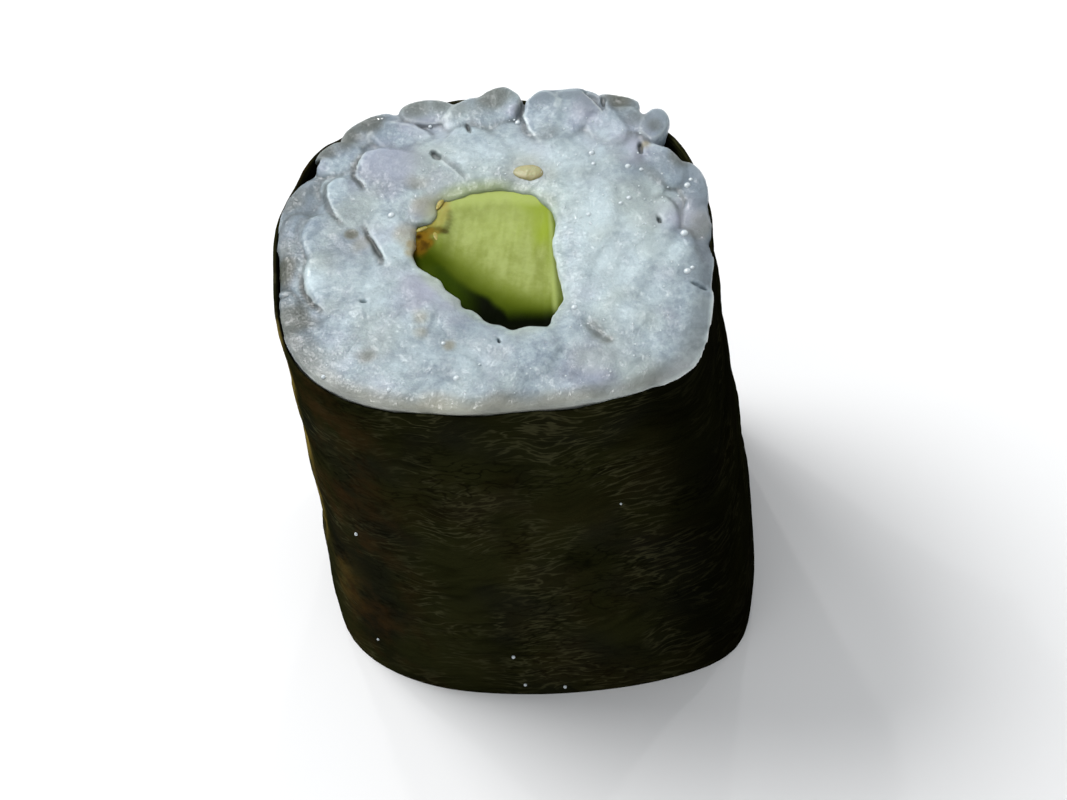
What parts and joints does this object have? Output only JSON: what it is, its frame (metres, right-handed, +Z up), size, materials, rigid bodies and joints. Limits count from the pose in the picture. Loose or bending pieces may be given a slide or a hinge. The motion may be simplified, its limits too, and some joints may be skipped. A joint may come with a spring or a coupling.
{
  "type": "cucumber maki roll piece",
  "caption": "Short upright piece of thin sushi roll: dark nori sheet round a soft-square ring of rice, with an off-square cucumber stick through its middle.",
  "frame": {"origin": "on the ground, under the middle of the piece's footprint", "axes": "+Z up along the roll's own axis, from the lower cut face to the upper one; +X along the wide side of the cross-section; -Y is the front"},
  "size_m": [0.0311, 0.0289, 0.0323],
  "materials": {
    "nori": "moist dried seaweed, wrinkled, dark olive black with a low sheen",
    "rice": "cooked short-grain rice, moist, slightly translucent, cool white",
    "cucumber": "wet cut flesh, pale green turning to dark green skin on one side",
    "sesame": "sesame seed, beige to toasted amber"
  },
  "bodies": {
    "root": {"nori": "nori", "rice": "rice", "cucumber": "cucumber"}
  },
  "joints": []
}
